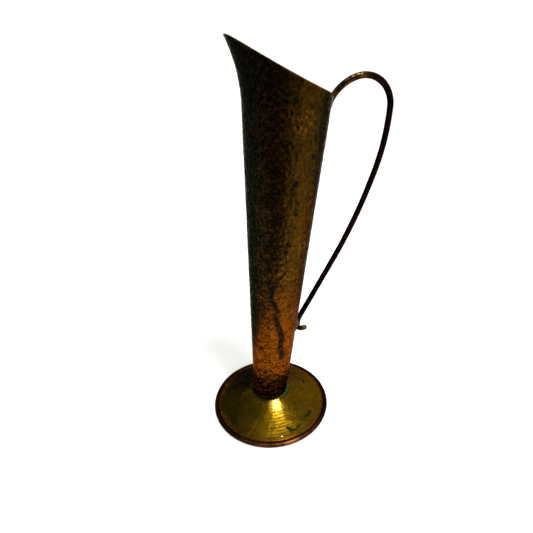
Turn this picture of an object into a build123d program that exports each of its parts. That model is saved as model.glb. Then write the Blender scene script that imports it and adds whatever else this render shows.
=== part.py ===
"""Tall hammered copper bud vase: a leaning tapered tube with a slanted pouring mouth, on a spun brass foot.

The origin is the centre of the foot's resting plane. +Z is up, the handle is towards +X and the pouring
lip towards -X, so the vase is a mirror image of itself across the XZ plane.
"""

import os

from build123d import *

# ---- driving dimensions, in millimetres and degrees -------------------------------------------------
# Foot: a spun trumpet with a closed crown, and a round wire ring soldered under its edge
FOOT_RADIUS = 45.0  # over the rim ring
FOOT_SHEET = 0.9
RING_RADIUS = 1.65  # of the ring's wire
RING_FLAT_DEPTH = 0.1  # worn off the ring's underside, where the vase rests
SEAT_RADIUS = 13.0  # where the tube stands on the foot
SEAT_HEIGHT = 14.5
MID_RADIUS = 25.0  # a point half way down the trumpet's curve
MID_HEIGHT = 8.7
EDGE_HEIGHT = 2.7  # of the trumpet's upper face at its edge
CROWN_RADIUS = 9.5  # flat top of the foot, inside the tube
CROWN_RISE = 1.4  # of the crown above the seat

# Tube: sheet rolled to a slender cone, brazed along the back
TUBE_SHEET = 0.8
TUBE_LEAN = 4.9  # towards the handle
TUBE_TAPER = 0.0594  # gain in radius for each millimetre of length
TUBE_SINK = 3.0  # length below the seat, trimmed to the foot's curve
SEAM_GAP = 0.8
FLOOR_SHEET = 0.8
FLOOR_LEVEL = 2.4  # of the floor disc's underside above the seat

# Mouth: heights are along the tube from its seat, x is towards the handle
FLARE_START = 207.5  # where the front begins to draw out to the lip
FLARE_END = 252.5
FLARE_STEPS = 5
FLARE_RATE = 0.0072  # reach of the lip for each square millimetre above the start
MOUTH_SIDE_HEIGHT = 223.3
MOUTH_SLOPE = 0.40
MOUTH_DISH = 0.003
MOUTH_SPAN = 45.0  # half width of the cut

# Handle: round wire bent in the XZ plane, from the top joint to the kicked-out end
WIRE_RADIUS = 1.95
HANDLE_START = (25.1, 208.0)  # x and height along the tube
HANDLE_DIRECTION = (0.309, 0.951)  # along the wire, away from the tube
HANDLE_BENDS = [(25.0, 56.3), (18.1, 102.6), (127.7, 16.3), (322.7, 11.7)]  # radius and clockwise turn
HANDLE_RUN = 50.4  # straight run down to the tube
SEAT_BEND = (8.0, 21.6)  # back in line with the tube's wall
SEAT_RUN = 3.6
KICK_BEND = (3.5, 103.4)
KICK_RUN = 3.6
WIRE_END_ROUNDING = 1.6

# Solder: blobs of revolution along the tube's direction, and the fillet round the tube's base
UPPER_SOLDER = (25.9, 211.0, 3.1, 5.2)  # x, height, half width, half height
LOWER_SOLDER = (16.9, 59.6, 3.0, 5.4)
BASE_SOLDER_RISE = 1.9
BASE_SOLDER_REACH = 2.9
BASE_SOLDER_DIP = 0.25  # of its hollow face, as a share of the rise

os.makedirs("parts", exist_ok=True)

# ---- places worked out from them --------------------------------------------------------------------
ring_centre_radius = FOOT_RADIUS - RING_RADIUS
ring_centre_height = RING_RADIUS - RING_FLAT_DEPTH
crown_height = SEAT_HEIGHT + CROWN_RISE

tube_plane = Plane((0, 0, SEAT_HEIGHT)).rotated((0, TUBE_LEAN, 0))
handle_plane = Plane(tube_plane.origin, x_dir=tube_plane.x_dir, z_dir=-tube_plane.y_dir)


def tube_radius(height):
    """Outer radius of the plain cone at a height along the tube."""
    return SEAT_RADIUS + TUBE_TAPER * height


def lip_reach(height):
    """How far the front stands out past the plain cone."""
    return FLARE_RATE * max(height - FLARE_START, 0) ** 2


def mouth_height(x):
    """Height of the mouth's edge, from the low back to the high lip."""
    return MOUTH_SIDE_HEIGHT - MOUTH_SLOPE * x + MOUTH_DISH * x**2


def tube_solid(wall):
    """The tube as a full body, its faces set in from the outside by wall."""
    with BuildPart() as body:
        with BuildSketch(handle_plane):
            with BuildLine():
                Polyline(
                    (0, -TUBE_SINK),
                    (wall - tube_radius(-TUBE_SINK), -TUBE_SINK),
                    (wall - tube_radius(FLARE_START), FLARE_START),
                    (0, FLARE_START),
                    close=True,
                )
            make_face()
        revolve(axis=Axis(tube_plane.origin, tube_plane.z_dir))
        for step in range(FLARE_STEPS + 1):
            height = FLARE_START + (FLARE_END - FLARE_START) * step / FLARE_STEPS
            radius = tube_radius(height) - wall
            with BuildSketch(tube_plane.offset(height)):
                with BuildLine():
                    ThreePointArc((0, -radius), (radius, 0), (0, radius))
                    EllipticalCenterArc((0, 0), radius + lip_reach(height), radius, 90, arc_size=180)
                make_face()
        loft()
    return body.part


def solder_blob(x, height, half_width, half_height):
    """A drop of solder, round about a line along the tube."""
    with BuildPart() as blob:
        with BuildSketch(handle_plane):
            with Locations((x, height)):
                Ellipse(half_width, half_height)
                Rectangle(half_width, 2 * half_height, align=(Align.MAX, Align.CENTER), mode=Mode.SUBTRACT)
        middle = handle_plane.from_local_coords((x, height, 0))
        revolve(axis=Axis(middle, tube_plane.z_dir))
    return blob.part


def trumpet(drop):
    """The foot's curve as a full body down to the resting plane, lowered by drop."""
    with BuildPart() as body:
        with BuildSketch(Plane.XZ):
            with BuildLine():
                Line((0, 0), (0, crown_height - drop))
                Line((0, crown_height - drop), (CROWN_RADIUS, crown_height - drop))
                Line((CROWN_RADIUS, crown_height - drop), (SEAT_RADIUS, SEAT_HEIGHT - drop))
                ThreePointArc(
                    (SEAT_RADIUS, SEAT_HEIGHT - drop),
                    (MID_RADIUS, MID_HEIGHT - drop),
                    (ring_centre_radius, EDGE_HEIGHT - drop),
                )
                Line((ring_centre_radius, EDGE_HEIGHT - drop), (ring_centre_radius, 0))
                Line((ring_centre_radius, 0), (0, 0))
            make_face()
        revolve(axis=Axis.Z)
    return body.part


tube_outside = tube_solid(0)
tube_inside = tube_solid(TUBE_SHEET)
foot_outside = trumpet(0)
foot_inside = trumpet(FOOT_SHEET)

# ---- foot rim ring ----------------------------------------------------------------------------------
with BuildPart() as foot_rim_ring:
    with BuildSketch(Plane.XZ):
        with Locations((ring_centre_radius, ring_centre_height)):
            Circle(RING_RADIUS)
        with Locations((ring_centre_radius, 0)):
            Rectangle(4 * RING_RADIUS, RING_RADIUS, align=(Align.CENTER, Align.MAX), mode=Mode.SUBTRACT)
    revolve(axis=Axis.Z)
foot_rim_ring.part.label = "foot_rim_ring"
export_step(foot_rim_ring.part, "parts/foot_rim_ring.step")

# ---- foot: one spun sheet, its edge butting on the ring ---------------------------------------------
with BuildPart() as foot_cone:
    add(foot_outside)
    add(foot_inside, mode=Mode.SUBTRACT)
    add(foot_rim_ring.part, mode=Mode.SUBTRACT)
foot_cone.part.label = "foot_cone"
export_step(foot_cone.part, "parts/foot_cone.step")

# ---- the slanted cut of the mouth -------------------------------------------------------------------
with BuildPart() as mouth_cut:
    with BuildSketch(handle_plane):
        with BuildLine():
            ThreePointArc(
                (-MOUTH_SPAN, mouth_height(-MOUTH_SPAN)),
                (0, mouth_height(0)),
                (MOUTH_SPAN, mouth_height(MOUTH_SPAN)),
            )
            Polyline(
                (MOUTH_SPAN, mouth_height(MOUTH_SPAN)),
                (MOUTH_SPAN, FLARE_END + MOUTH_SPAN),
                (-MOUTH_SPAN, FLARE_END + MOUTH_SPAN),
                (-MOUTH_SPAN, mouth_height(-MOUTH_SPAN)),
            )
        make_face()
    extrude(amount=MOUTH_SPAN, both=True)

# ---- tube wall, and the brazed seam down its back ---------------------------------------------------
with BuildPart() as tube_wall:
    add(tube_outside)
    add(tube_inside, mode=Mode.SUBTRACT)
    add(mouth_cut.part, mode=Mode.SUBTRACT)
    add(foot_outside, mode=Mode.SUBTRACT)

with BuildPart() as seam_slot:
    with BuildSketch(handle_plane):
        Rectangle(FLARE_END, 2 * FLARE_END, align=(Align.MIN, Align.CENTER))
    extrude(amount=SEAM_GAP / 2, both=True)

with BuildPart() as body_tube:
    add(tube_wall.part)
    add(seam_slot.part, mode=Mode.SUBTRACT)
body_tube.part.label = "body_tube"
export_step(body_tube.part, "parts/body_tube.step")

with BuildPart() as seam_braze:
    add(tube_wall.part)
    add(seam_slot.part, mode=Mode.INTERSECT)
seam_braze.part.label = "seam_braze"
export_step(seam_braze.part, "parts/seam_braze.step")

# ---- floor disc, soldered in the tube's lower end ---------------------------------------------------
with BuildPart() as tube_floor:
    with BuildSketch(tube_plane.offset(FLOOR_LEVEL)):
        Circle(SEAT_RADIUS)
    extrude(amount=FLOOR_SHEET)
    add(tube_inside, mode=Mode.INTERSECT)
tube_floor.part.label = "tube_floor"
export_step(tube_floor.part, "parts/tube_floor.step")

# ---- solder fillet round the tube's base ------------------------------------------------------------
with BuildPart() as base_solder:
    fillet_foot = (SEAT_RADIUS + BASE_SOLDER_REACH, -TUBE_SINK)
    fillet_top = (tube_radius(BASE_SOLDER_RISE) - TUBE_SHEET / 2, BASE_SOLDER_RISE)
    corner = (SEAT_RADIUS - TUBE_SHEET / 2, -TUBE_SINK)
    hollow = BASE_SOLDER_DIP * BASE_SOLDER_RISE
    hollow_point = (
        (fillet_foot[0] + fillet_top[0]) / 2 - hollow,
        (fillet_foot[1] + fillet_top[1]) / 2 - hollow,
    )
    with BuildSketch(handle_plane):
        with BuildLine():
            ThreePointArc(fillet_foot, hollow_point, fillet_top)
            Polyline(fillet_top, corner, fillet_foot)
        make_face()
    revolve(axis=Axis(tube_plane.origin, tube_plane.z_dir))
    add(tube_outside, mode=Mode.SUBTRACT)
    add(foot_outside, mode=Mode.SUBTRACT)
base_solder.part.label = "base_solder"
export_step(base_solder.part, "parts/base_solder.step")

# ---- handle wire ------------------------------------------------------------------------------------
with BuildPart() as handle_wire:
    with BuildLine(handle_plane) as route:
        here, heading = HANDLE_START, HANDLE_DIRECTION
        for radius, turn in HANDLE_BENDS:
            bend = JernArc(here, heading, radius, -turn)
            here, heading = bend @ 1, bend % 1
        for length, (radius, turn) in ((HANDLE_RUN, SEAT_BEND), (SEAT_RUN, KICK_BEND)):
            run = Line(here, here + heading * length)
            bend = JernArc(run @ 1, run % 1, radius, turn)
            here, heading = bend @ 1, bend % 1
        Line(here, here + heading * KICK_RUN)
    route_length = route.wires()[0].length
    with BuildSketch(Plane(route.wires()[0] @ 0, z_dir=route.wires()[0] % 0)):
        Circle(WIRE_RADIUS)
    sweep()
    wire_end = handle_wire.faces().filter_by(GeomType.PLANE).sort_by(Axis.Z)[0]
    fillet(wire_end.edges(), WIRE_END_ROUNDING)
    add(tube_outside, mode=Mode.SUBTRACT)
handle_wire.part.label = "handle_wire"
export_step(handle_wire.part, "parts/handle_wire.step")

# ---- solder at the handle's two joints --------------------------------------------------------------
for name, drop in (("upper_handle_solder", UPPER_SOLDER), ("lower_handle_solder", LOWER_SOLDER)):
    with BuildPart() as handle_solder:
        add(solder_blob(*drop))
        add(tube_outside, mode=Mode.SUBTRACT)
        add(handle_wire.part, mode=Mode.SUBTRACT)
    handle_solder.part.label = name
    export_step(handle_solder.part, f"parts/{name}.step")

print("handle route", round(route_length, 1), "mm")
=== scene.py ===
"""Hammered copper bud vase on a spun brass foot, with a bronzed wire handle, built round its CAD frame.

Lengths are in metres in the properties and the frame. The makers' drawings below are in millimetres, in one of
two frames: the row frame (origin on the resting plane, +Z up, handle towards +X, pouring lip towards -X), or the
tube frame (origin at the tube's seat on the foot, Z along the leaning tube).
"""

import functools
import math

import bmesh
import bpy
import numpy as np
from bpy.props import FloatProperty, FloatVectorProperty, IntProperty, PointerProperty
from mathutils import Euler, Matrix, Vector, noise


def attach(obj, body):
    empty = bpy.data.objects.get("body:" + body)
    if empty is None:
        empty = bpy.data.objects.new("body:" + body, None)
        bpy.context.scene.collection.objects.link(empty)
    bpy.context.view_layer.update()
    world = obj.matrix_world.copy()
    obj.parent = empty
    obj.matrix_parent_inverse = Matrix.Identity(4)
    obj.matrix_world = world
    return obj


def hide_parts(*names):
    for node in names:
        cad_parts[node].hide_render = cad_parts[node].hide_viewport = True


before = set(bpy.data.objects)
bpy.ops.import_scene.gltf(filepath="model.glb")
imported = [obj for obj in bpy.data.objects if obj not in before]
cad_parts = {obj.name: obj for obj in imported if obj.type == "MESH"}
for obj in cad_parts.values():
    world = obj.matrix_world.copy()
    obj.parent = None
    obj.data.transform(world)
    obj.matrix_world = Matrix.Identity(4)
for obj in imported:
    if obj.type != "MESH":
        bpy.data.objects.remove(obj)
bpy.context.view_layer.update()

bl_info = {
    "name": "Hammered copper bud vase",
    "version": (1, 0, 0),
    "blender": (4, 5, 0),
    "location": "View3D > Sidebar > Bud Vase",
    "description": "Builds a hammered copper bud vase with a brass foot and a wire handle",
    "category": "Add Mesh",
}

MM = 0.001
TURN = 2 * math.pi

# ---- drawing: foot, in the row frame ----------------------------------------------------------------
RING_CENTRE = 43.35
RING_LEVEL = 1.55
RING_WIRE = 1.65
FOOT_CURVE = ((13.0, 14.5), (25.0, 8.7), (43.35, 2.7))  # radius and height of three points of the trumpet
CROWN_RADIUS = 9.5
CROWN_LEVEL = 15.9
CREASE_START = 41.0
CREASE_END = 42.15
CREASE_DEPTH = 0.95

# ---- drawing: tube, in the tube frame ---------------------------------------------------------------
SEAT_LEVEL = 14.5
LEAN = math.radians(4.9)
SEAT_RADIUS = 13.0
TAPER = 0.0594
TUBE_FOOT = -0.4
SHOULDER = 190.0
FLARE_START = 207.5
FLARE_RATE = 0.0072
MOUTH_SIDE = 223.3
MOUTH_SLOPE = 0.40
MOUTH_DISH = 0.003
LIP_LEVEL = 240.0
FLOOR_TOP = 3.2
RIM_ROUND = 0.3  # height of the rounded edge of the mouth
LEVEL_BAND = 20.0  # height over which the tube's lower edge is brought level
FILLET_INNER = 13.05  # the solder round the base: where it starts, how far it spreads and how high it climbs
FILLET_SPREAD = 2.9
FILLET_CLIMB = 1.9

# ---- drawing: handle, in the tube frame's XZ plane --------------------------------------------------
HANDLE_START = Vector((25.1, 0.0, 208.0))
HANDLE_HEADING = Vector((0.309, 0.0, 0.951))
HANDLE_BENDS = ((25.0, 56.3), (18.1, 102.6), (127.7, 16.3), (322.7, 11.7))  # radius and degrees towards the floor
HANDLE_RUN = 50.4
SEAT_BEND = (8.0, -21.6)
SEAT_RUN = 3.6
KICK_BEND = (3.5, -103.4)
KICK_RUN = 2.0
WIRE_END = 1.6

# ---- studio: backdrop in mm, camera in metres ------------------------------------------------------
SWEEP = 900.0  # radius of the curve between the floor and the wall
FLOOR_REACH = 1700.0
WALL_TOP = (2620.0, 2600.0)
CAMERA_PLACE = (-0.05157, -0.22979, 0.24749)
CAMERA_RIGHT = (0.96752, -0.24904, -0.04348)
CAMERA_UP = (0.15410, 0.44461, 0.88237)
CAMERA_BACK = (-0.20041, -0.86041, 0.46855)
CAMERA_LENS = 27.017

# ---- tones that the finishes mix in, besides the colours that a user may change ---------------------
FRONT_BLACK = (0.008, 0.0075, 0.0045)
OLIVE_GOLD = (0.019, 0.014, 0.0028)
FRONT_SHADOW = (0.015, 0.014, 0.008)
BROWN_SHADOW = (0.036, 0.022, 0.006)
WARM_GOLD = (0.056, 0.0255, 0.0026)
LEFT_EDGE_REFLECTION = (0.011, 0.013, 0.007)
GOLD_FLECK = (0.17, 0.07, 0.005)
MOUTH_TARNISH = (0.004, 0.0032, 0.0022)
BASE_BAND_DARK = (0.011, 0.0034, 0.0016)
DRIP_OLIVE = (0.0062, 0.0062, 0.0016)
SPOT_BLACK = (0.001, 0.0024, 0.0022)
FRECKLE = (0.003, 0.003, 0.002)
RIM_HIGHLIGHT = (0.38, 0.14, 0.05)
INSIDE_DARK = (0.008, 0.006, 0.004)
INSIDE_BROWN = (0.035, 0.017, 0.008)
FLOOR_DARK = (0.012, 0.01, 0.008)
FLOOR_BROWN = (0.075, 0.04, 0.02)
FLOOR_GREEN = (0.05, 0.085, 0.05)
BRAZE_DARK = (0.03, 0.02, 0.008)
BRAZE_BRIGHT = (0.26, 0.16, 0.035)
ORANGE_BRASS = (0.17, 0.078, 0.003)
FAR_DARK_REFLECTION = (0.009, 0.007, 0.0012)
CREASE_DARKENING = (0.012, 0.008, 0.003)
CROWN_DARKENING = (0.008, 0.007, 0.002)
STROKE_GREEN = (0.003, 0.007, 0.001)
SPECK_BROWN = (0.008, 0.005, 0.002)
OCHRE = (0.24, 0.1, 0.005)
BROWNED_BRASS = (0.09, 0.032, 0.004)
HIGHLIGHT_BRASS = (0.26, 0.19, 0.04)
WHITE_GLINT = (0.8, 0.75, 0.6)
PIT_BROWN = (0.01, 0.008, 0.003)
RING_DARK = (0.022, 0.008, 0.003)
RING_COPPER = (0.085, 0.03, 0.01)
RING_SIDE_SHADE = (0.006, 0.0035, 0.002)
RING_HIGHLIGHT = (0.24, 0.095, 0.02)
RING_UNDERSIDE_SHADE = (0.01, 0.007, 0.004)
BRONZE_SHEEN = (0.12, 0.06, 0.01)
STUB_BRONZE = (0.12, 0.065, 0.015)
PINK_GLINT = (0.4, 0.24, 0.18)
SOLDER_GREEN = (0.16, 0.2, 0.12)
SOLDER_PIT = (0.02, 0.018, 0.012)
SOLDER_BROWN = (0.035, 0.026, 0.014)
PALE_VERDIGRIS = (0.06, 0.12, 0.015)
CRUST_DIRT = (0.006, 0.005, 0.003)
CARD_DARK = (0.02, 0.02, 0.02)
CARD_LIGHT = (0.03, 0.028, 0.026)

# ---- tints of the metals' edges, where they are seen on a slant --------------------------------------
COPPER_EDGE = (0.36, 0.37, 0.31)
BRASS_EDGE = (0.27, 0.27, 0.13)
RING_EDGE = (0.22, 0.16, 0.1)
WIRE_EDGE = (0.22, 0.19, 0.16)
PLAIN_EDGE = (1, 1, 1)


class VaseSizes(bpy.types.PropertyGroup):
    """Sizes of the vase's pieces that don't change its outline."""

    tube_sheet: FloatProperty(name="Tube sheet", description="Thickness of the copper sheet",
                              default=0.0008, min=0.0004, unit="LENGTH")
    foot_sheet: FloatProperty(name="Foot sheet", description="Thickness of the spun brass",
                              default=0.0009, min=0.0004, unit="LENGTH")
    dent_pitch: FloatProperty(name="Dent pitch", description="Distance between hammer marks on the tube",
                              default=0.0019, min=0.0015, unit="LENGTH")
    dent_depth: FloatProperty(name="Dent depth", description="Depth of a hammer mark on the tube",
                              default=0.00027, min=0.0, unit="LENGTH")
    wire_radius: FloatProperty(name="Wire radius", description="Radius of the handle's wire",
                               default=0.00195, min=0.001, unit="LENGTH")
    tube_columns: IntProperty(name="Tube columns", description="Faces round the tube", default=250, min=48)


class VaseColours(bpy.types.PropertyGroup):
    """Colours of the vase's finishes."""

    copper_bright: FloatVectorProperty(name="Bright copper", description="Worn copper near the base",
                                       subtype="COLOR", size=3, default=(0.19, 0.05, 0.0025), min=0, max=1)
    copper_gold: FloatVectorProperty(name="Gold patina", description="Golden brown side of the tube",
                                     subtype="COLOR", size=3, default=(0.034, 0.0158, 0.0014), min=0, max=1)
    copper_dark: FloatVectorProperty(name="Dark patina", description="Purple brown tarnish on the tube",
                                     subtype="COLOR", size=3, default=(0.012, 0.0048, 0.003), min=0, max=1)
    brass: FloatVectorProperty(name="Brass", description="Spun brass of the foot",
                               subtype="COLOR", size=3, default=(0.15, 0.085, 0.0022), min=0, max=1)
    verdigris: FloatVectorProperty(name="Verdigris", description="Green crust at the base",
                                   subtype="COLOR", size=3, default=(0.016, 0.06, 0.003), min=0, max=1)
    wire: FloatVectorProperty(name="Wire", description="Bronzed handle wire",
                              subtype="COLOR", size=3, default=(0.016, 0.007, 0.005), min=0, max=1)
    solder: FloatVectorProperty(name="Solder", description="Tin solder at the handle's joints",
                                subtype="COLOR", size=3, default=(0.34, 0.32, 0.25), min=0, max=1)
    backdrop: FloatVectorProperty(name="Backdrop", description="Pale studio paper",
                                  subtype="COLOR", size=3, default=(0.88, 0.88, 0.87), min=0, max=1)


# ---- shapes as formulas -----------------------------------------------------------------------------
def cone_radius(height):
    """Outer radius of the plain tube at a height along it."""
    return SEAT_RADIUS + TAPER * height


def lip_reach(height):
    """How far the front of the tube stands out past the plain cone."""
    return FLARE_RATE * max(height - FLARE_START, 0.0) ** 2


def mouth_level(turn):
    """Height of the mouth's edge at an angle round the tube, measured from the handle's side."""
    height = MOUTH_SIDE
    for _ in range(60):
        reach = lip_reach(height) if math.cos(turn) < 0 else 0.0
        x = (cone_radius(height) + reach) * math.cos(turn)
        height = 0.5 * height + 0.5 * (MOUTH_SIDE - MOUTH_SLOPE * x + MOUTH_DISH * x * x)
    return height


def arc_height(points):
    """Height of the arc through three points, as a function of radius, for an arc that sags."""
    (x1, y1), (x2, y2), (x3, y3) = points
    a, b = x2 - x1, y2 - y1
    c, d = x3 - x1, y3 - y1
    e = (x2 * x2 - x1 * x1 + y2 * y2 - y1 * y1) / 2
    f = (x3 * x3 - x1 * x1 + y3 * y3 - y1 * y1) / 2
    det = a * d - b * c
    cx, cy = (e * d - b * f) / det, (a * f - e * c) / det
    size = math.hypot(x1 - cx, y1 - cy)
    return lambda radius: cy - math.sqrt(size * size - (radius - cx) ** 2)


trumpet_height = arc_height(FOOT_CURVE)


def foot_height(radius):
    """Height of the foot's upper face, with the crease beside its rim ring."""
    if radius <= CROWN_RADIUS:
        return CROWN_LEVEL
    if radius <= SEAT_RADIUS:
        share = (radius - CROWN_RADIUS) / (SEAT_RADIUS - CROWN_RADIUS)
        return CROWN_LEVEL + (SEAT_LEVEL - CROWN_LEVEL) * share
    share = min(max((radius - CREASE_START) / (CREASE_END - CREASE_START), 0.0), 1.0)
    return trumpet_height(radius) - CREASE_DEPTH * share ** 2


def steps(first, last, count):
    """count even steps from first to last, without first."""
    return [first + (last - first) * (i + 1) / count for i in range(count)]


def grain(place, size, seed=0.0):
    """Smooth noise between -1 and 1, with lumps about size across. place and size are in millimetres."""
    return noise.noise(Vector(place) / size + Vector((seed, seed * 0.7, -seed)))


def hammer_marks(turn, along, radius_of, pitch, size, seed):
    """Depth, from 0 at the ridges to about 1 in the hollows, of overlapping hammer blows laid in rows.

    turn and along are arrays: the angle round the axis and the distance along the rows' direction. radius_of gives
    a row's radius, and size a blow's two half widths.
    """
    random = np.random.RandomState(seed)
    start = along.min() - 3 * pitch
    row_count = int((along.max() - start) / pitch) + 6
    radii = np.array([max(radius_of(start + row * pitch), pitch) for row in range(row_count)])
    in_row = np.maximum(np.round(TURN * radii / pitch).astype(int), 3)
    luck = random.rand(row_count, in_row.max(), 6)
    depth = np.zeros_like(along)
    local_radius = np.array([radius_of(value) for value in along])
    neighbours = range(-2, 3)
    for row_shift in neighbours:
        row = np.clip(np.floor((along - start) / pitch).astype(int) + row_shift, 0, row_count - 1)
        count = in_row[row]
        nearest = np.floor((turn % TURN) * count / TURN).astype(int)
        for shift in neighbours:
            place = (nearest + shift) % count
            chance = luck[row, place]
            centre = (nearest + shift + 0.5 + 0.5 * (row % 2) + 0.75 * (chance[:, 0] - 0.5)) / count * TURN
            du = ((turn - centre + math.pi) % TURN - math.pi) * local_radius
            dv = along - (start + (row + 0.5 + 0.75 * (chance[:, 1] - 0.5)) * pitch)
            lean = (chance[:, 2] - 0.5) * 1.6
            wide = size[0] * (0.75 + 0.5 * chance[:, 3])
            tall = size[1] * (0.75 + 0.5 * chance[:, 4])
            across = (du * np.cos(lean) + dv * np.sin(lean)) / wide
            down = (dv * np.cos(lean) - du * np.sin(lean)) / tall
            bowl = (0.45 + 0.75 * chance[:, 5]) * (1 - across ** 2 - down ** 2)
            depth = np.maximum(depth, bowl)
    return depth


# ---- workbench: the operators that every piece is made with -----------------------------------------
def clear_bench():
    """Leaves edit mode and deselects everything."""
    if bpy.context.mode != "OBJECT":
        bpy.ops.object.mode_set(mode="OBJECT")
    bpy.ops.object.select_all(action="DESELECT")


def take(piece):
    """Makes piece the only selected and active object."""
    clear_bench()
    piece.select_set(True)
    bpy.context.view_layer.objects.active = piece


def named(name):
    """Gives the primitive just added its name."""
    piece = bpy.context.object
    piece.name = name
    piece.data.name = name
    return piece


def edit_all():
    """Enters edit mode on the active piece, with everything selected."""
    bpy.ops.object.mode_set(mode="EDIT")
    bpy.ops.mesh.select_all(action="SELECT")


def close_edit():
    """Points every face outwards and leaves edit mode."""
    bpy.ops.mesh.select_all(action="SELECT")
    bpy.ops.mesh.normals_make_consistent(inside=False)
    bpy.ops.object.mode_set(mode="OBJECT")


def pick(piece, wanted, kind="VERT"):
    """In edit mode, selects the vertices, edges or faces that wanted chooses, and nothing else."""
    bpy.ops.mesh.select_mode(type=kind)
    bpy.ops.mesh.select_all(action="DESELECT")
    mesh = bmesh.from_edit_mesh(piece.data)
    for item in {"VERT": mesh.verts, "EDGE": mesh.edges, "FACE": mesh.faces}[kind]:
        item.select = bool(wanted(item))
    mesh.select_flush_mode()
    bmesh.update_edit_mesh(piece.data)


def turned(name, columns, rows, ends="open"):
    """A shape turned about Z: a circle extruded and resized from row to row, each a radius and a height in mm.

    ends is open, joined, where the last row meets the first, or capped, where the last row closes on the axis.
    """
    clear_bench()
    radius, height = rows[0]
    bpy.ops.mesh.primitive_circle_add(vertices=columns, radius=radius * MM, location=(0, 0, height * MM))
    piece = named(name)
    bpy.ops.object.transform_apply(location=True)
    edit_all()
    for next_radius, next_height in rows[1:]:
        bpy.ops.mesh.extrude_region_move(
            TRANSFORM_OT_translate={"value": (0, 0, (next_height - height) * MM)})
        share = next_radius / radius
        bpy.ops.transform.resize(value=(share, share, 1), center_override=(0, 0, next_height * MM))
        radius, height = next_radius, next_height
    if ends == "capped":
        bpy.ops.mesh.edge_face_add()
        bpy.ops.mesh.poke()
    if ends == "joined":
        pick(piece, lambda edge: edge.is_boundary, "EDGE")
        bpy.ops.mesh.bridge_edge_loops()
    close_edit()
    return piece


def places(piece):
    """The vertices' places in millimetres, as an array."""
    flat = np.zeros(len(piece.data.vertices) * 3)
    piece.data.vertices.foreach_get("co", flat)
    return flat.reshape(-1, 3) / MM


def round_axis(spots):
    """The angle round Z, and the distance from it, of each place."""
    return np.arctan2(spots[:, 1], spots[:, 0]), np.hypot(spots[:, 0], spots[:, 1])


def grains(spots, *layers):
    """Smooth noise at each place, as the sum of layers, each a lump's size, its depth and a seed."""
    return np.array([sum(depth * grain(place, size, seed) for size, depth, seed in layers) for place in spots])


def push(piece, direction, distance):
    """Moves each vertex along X, Y, Z or its normal, by its distance in mm, with weighted Displace modifiers."""
    take(piece)
    for sign in (1, -1):
        share = np.maximum(sign * np.asarray(distance, float), 0)
        most = float(share.max())
        if most < 1e-6:
            continue
        group = piece.vertex_groups.new(name="push")
        for index in np.nonzero(share > 1e-7)[0]:
            group.add([int(index)], float(share[index] / most), "REPLACE")
        bpy.ops.object.modifier_add(type="DISPLACE")
        modifier = piece.modifiers[-1]
        modifier.direction = direction
        modifier.mid_level = 0.0
        modifier.strength = sign * most * MM
        modifier.vertex_group = group.name
        bpy.ops.object.modifier_apply(modifier=modifier.name)
        piece.vertex_groups.remove(piece.vertex_groups["push"])


def reshape(piece, new_place):
    """Moves every vertex to new_place of its place, in mm."""
    old = places(piece)
    new = np.array([new_place(*place) for place in old])
    for axis, direction in enumerate("XYZ"):
        push(piece, direction, new[:, axis] - old[:, axis])


def note(piece, name, values):
    """Stores a value for each vertex, for the finish to read."""
    attribute = piece.data.attributes.new(name, "FLOAT", "POINT")
    attribute.data.foreach_set("value", np.asarray(values, np.float32))


def apply_modifier(piece, kind, **settings):
    """Adds a modifier with these settings and applies it."""
    take(piece)
    bpy.ops.object.modifier_add(type=kind)
    modifier = piece.modifiers[-1]
    for name, value in settings.items():
        setattr(modifier, name, value)
    bpy.ops.object.modifier_apply(modifier=modifier.name)


def lean_with_tube(piece):
    """Moves a piece drawn upright in the tube frame to its place on the foot."""
    take(piece)
    piece.location = (0, 0, SEAT_LEVEL * MM)
    piece.rotation_euler = Euler((0, LEAN, 0))
    bpy.ops.object.transform_apply(location=True, rotation=True, scale=True)


def finish_piece(piece, material, slot, *nodes, angle=50):
    """Shades a piece, gives it its material, and ties it to the frame."""
    take(piece)
    bpy.ops.object.shade_smooth_by_angle(angle=math.radians(angle))
    piece.data.materials.clear()
    piece.data.materials.append(material)
    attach(piece, "root")
    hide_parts(*nodes)
    clear_bench()


# ---- finishes ---------------------------------------------------------------------------------------
class Value:
    """A socket of a finish's nodes. Sums on it add Math nodes."""

    def __init__(self, finish, socket):
        self.finish, self.socket = finish, socket

    def __add__(self, other):
        return self.finish.math("ADD", self, other)

    def __sub__(self, other):
        return self.finish.math("SUBTRACT", self, other)

    def __mul__(self, other):
        return self.finish.math("MULTIPLY", self, other)

    def __truediv__(self, other):
        return self.finish.math("DIVIDE", self, other)

    def __rsub__(self, other):
        return self.finish.math("SUBTRACT", other, self)

    def __rtruediv__(self, other):
        return self.finish.math("DIVIDE", other, self)

    __radd__ = __add__
    __rmul__ = __mul__


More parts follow.
